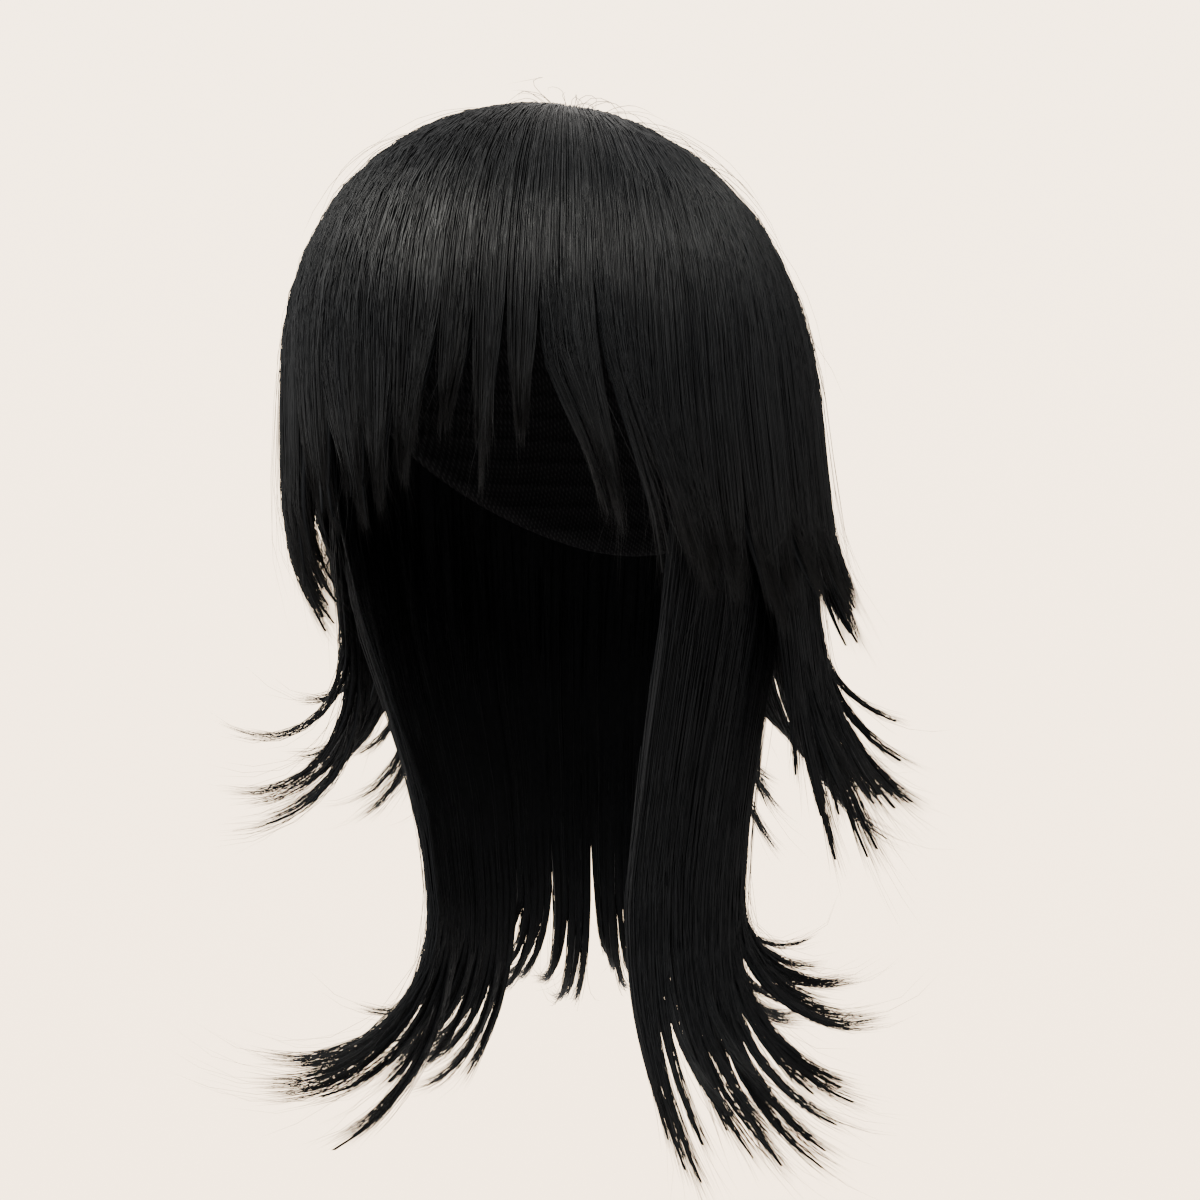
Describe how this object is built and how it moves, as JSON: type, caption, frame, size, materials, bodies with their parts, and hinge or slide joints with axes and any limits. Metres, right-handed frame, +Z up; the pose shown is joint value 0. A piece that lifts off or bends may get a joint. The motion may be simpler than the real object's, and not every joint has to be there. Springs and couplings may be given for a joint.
{
  "type": "mullet wig",
  "caption": "Black layered mullet wig of straight hair: a pointed fringe, short tiers that flip out at the jaw and long flipped locks at the nape, on a stretch cap.",
  "frame": {"origin": "top of the inside of the cap, where the crown of a head sits", "axes": "+Z up out of the crown, the wearer faces -Y, +X to the wearer's left"},
  "size_m": [0.2652, 0.2956, 0.3879],
  "materials": {
    "hair": "satin",
    "cap_net": "matte"
  },
  "bodies": {
    "root": {"cap": "cap_net", "fringe": "hair", "side_hair_left": "hair", "side_hair_right": "hair", "back_hair": "hair", "mid_hair_left": "hair", "mid_hair_right": "hair", "mid_hair_back": "hair", "nape_hair_left": "hair", "nape_hair_right": "hair", "nape_hair_back": "hair"}
  },
  "joints": []
}
